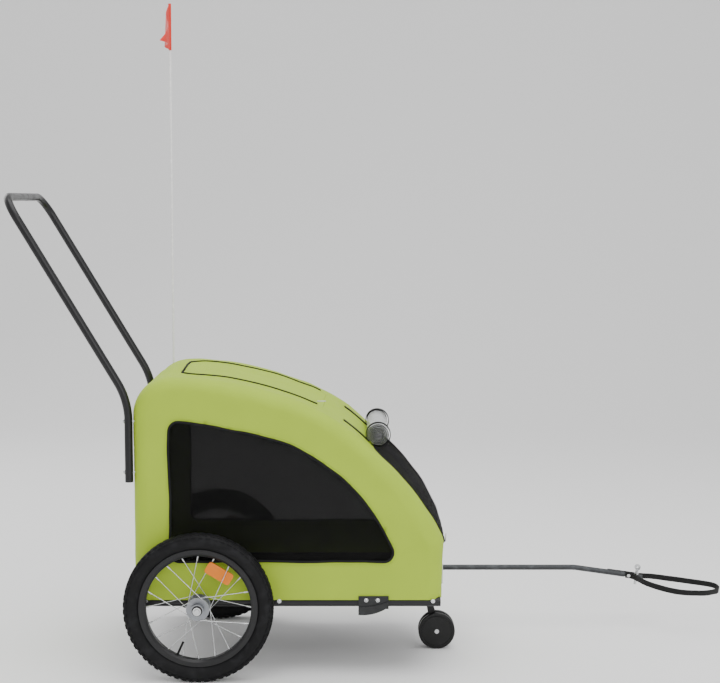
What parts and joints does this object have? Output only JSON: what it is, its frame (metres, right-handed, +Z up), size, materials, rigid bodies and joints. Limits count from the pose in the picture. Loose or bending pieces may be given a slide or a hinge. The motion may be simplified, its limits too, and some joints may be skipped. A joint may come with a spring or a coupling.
{
  "type": "pet bicycle trailer",
  "caption": "Fabric-covered pet trailer for a bicycle on a tube frame with spoked wheels, a front caster, push handle, side tow bar and safety flag.",
  "frame": {"origin": "on the ground, midway between the rear of the handle and the nose of the safety strap, midway between the wheels", "axes": "+X forward towards the bicycle, +Y to the left, +Z up"},
  "size_m": [2.032, 0.7156, 1.851],
  "materials": {
    "frame_black": "satin black powder coat",
    "plated_steel": "bright zinc plate",
    "tow_steel": "dark grey zinc and paint",
    "rim_black": "satin black",
    "cabin_fabric": "coated polyester, fine weave",
    "mesh": "black open mesh",
    "webbing": "black webbing",
    "clear_film": "clear film with black edging",
    "floor_board": "matt",
    "floor_fabric": "black coated cloth",
    "black_plastic": "moulded",
    "tyre_rubber": "moulded rubber",
    "tube_rubber": "moulded rubber",
    "amber_lens": "clear moulded prism",
    "clear_lens": "clear moulded prism",
    "red_lens": "clear moulded prism",
    "pole_white": "glass-fibre rod",
    "flag_orange": "light coated nylon"
  },
  "bodies": {
    "chassis": {"side_rail_right": "frame_black", "side_rail_left": "frame_black", "cross_tubes": "frame_black", "axle_sockets": "plated_steel", "side_arch_right": "frame_black", "side_arch_left": "frame_black", "roof_spreaders": "frame_black", "tow_bracket_right": "frame_black", "tow_bracket_left": "frame_black", "frame_screws": "plated_steel", "cabin_cover": "cabin_fabric", "window_mesh_right": "mesh", "window_mesh_left": "mesh", "floor_panel": "floor_board", "floor_mat": "floor_fabric", "rain_cover_roll": "clear_film", "roll_straps": "webbing", "handle_tube": "frame_black", "handle_spacers": "black_plastic", "handle_bolts": "plated_steel", "tow_pivot": "plated_steel", "caster_mount": "frame_black", "wheel_axle_right": "plated_steel", "wheel_axle_left": "plated_steel", "pole_sleeve": "webbing", "reflector_bases": "black_plastic", "front_reflector": "clear_lens", "rear_reflectors": "red_lens"},
    "right_wheel": {"tyre_right": "tyre_rubber", "inner_tube_right": "tube_rubber", "rim_right": "rim_black", "spokes_right": "plated_steel", "hub_shell_right": "plated_steel", "hub_bearings_right": "plated_steel", "spoke_reflector_right": "amber_lens"},
    "left_wheel": {"tyre_left": "tyre_rubber", "inner_tube_left": "tube_rubber", "rim_left": "rim_black", "spokes_left": "plated_steel", "hub_shell_left": "plated_steel", "hub_bearings_left": "plated_steel", "spoke_reflector_left": "amber_lens"},
    "right_button": {"release_button_right": "plated_steel"},
    "left_button": {"release_button_left": "plated_steel"},
    "front_flap": {"front_mesh_door": "mesh"},
    "rear_flap": {"rear_door": "cabin_fabric"},
    "roof_flap": {"roof_hatch": "cabin_fabric"},
    "flag_rod": {"flag_pole": "pole_white", "flag": "flag_orange"},
    "tow_arm": {"tow_bar": "tow_steel", "hitch_tongue": "tow_steel", "safety_strap": "webbing", "strap_bolt": "plated_steel"},
    "drop_pin": {"hitch_pin": "plated_steel"},
    "caster_swivel": {"caster_fork": "black_plastic", "caster_axle": "plated_steel"},
    "caster_roller_right": {"caster_wheel_right": "black_plastic"},
    "caster_roller_left": {"caster_wheel_left": "black_plastic"}
  },
  "joints": [
    {"name": "right_wheel_spin", "type": "hinge", "parent": "chassis", "child": "right_wheel", "pos_m": [-0.49325, -0.31, 0.2], "axis": [0, 1, 0], "continuous": true},
    {"name": "left_wheel_spin", "type": "hinge", "parent": "chassis", "child": "left_wheel", "pos_m": [-0.49325, 0.31, 0.2], "axis": [0, 1, 0], "continuous": true},
    {"name": "right_release_press", "type": "slide", "parent": "chassis", "child": "right_button", "axis": [0, 1, 0], "range_m": [0, 0.003], "stiffness_N_per_m": 400, "springref_m": -0.003},
    {"name": "left_release_press", "type": "slide", "parent": "chassis", "child": "left_button", "axis": [0, -1, 0], "range_m": [0, 0.003], "stiffness_N_per_m": 400, "springref_m": -0.003},
    {"name": "caster_turn", "type": "hinge", "parent": "chassis", "child": "caster_swivel", "pos_m": [0.12875, 0, 0.1847], "axis": [0, 0, 1], "continuous": true},
    {"name": "right_roller_spin", "type": "hinge", "parent": "caster_swivel", "child": "caster_roller_right", "pos_m": [0.15375, 0, 0.052], "axis": [0, 1, 0], "continuous": true},
    {"name": "left_roller_spin", "type": "hinge", "parent": "caster_swivel", "child": "caster_roller_left", "pos_m": [0.15375, 0, 0.052], "axis": [0, 1, 0], "continuous": true},
    {"name": "tow_bar_swing", "type": "hinge", "parent": "chassis", "child": "tow_arm", "pos_m": [-0.02925, 0.2502, 0.1715], "axis": [0, 0, -1], "range_deg": [0, 45]},
    {"name": "hitch_pin_lift", "type": "slide", "parent": "tow_arm", "child": "drop_pin", "axis": [0.1409, 0, 0.99], "range_m": [0, 0.032]},
    {"name": "front_flap_drop", "type": "hinge", "parent": "chassis", "child": "front_flap", "pos_m": [0.15575, 0, 0.308], "axis": [0, 1, 0], "range_deg": [0, 140]},
    {"name": "rear_flap_drop", "type": "hinge", "parent": "chassis", "child": "rear_flap", "pos_m": [-0.67125, 0, 0.2325], "axis": [0, -1, 0], "range_deg": [0, 110]},
    {"name": "roof_flap_lift", "type": "hinge", "parent": "chassis", "child": "roof_flap", "pos_m": [-0.16375, 0, 0.71038], "axis": [0, 1, 0], "range_deg": [0, 100]},
    {"name": "flag_pole_lift", "type": "slide", "parent": "chassis", "child": "flag_rod", "axis": [0, 0, 1], "range_m": [0, 0.129]}
  ]
}
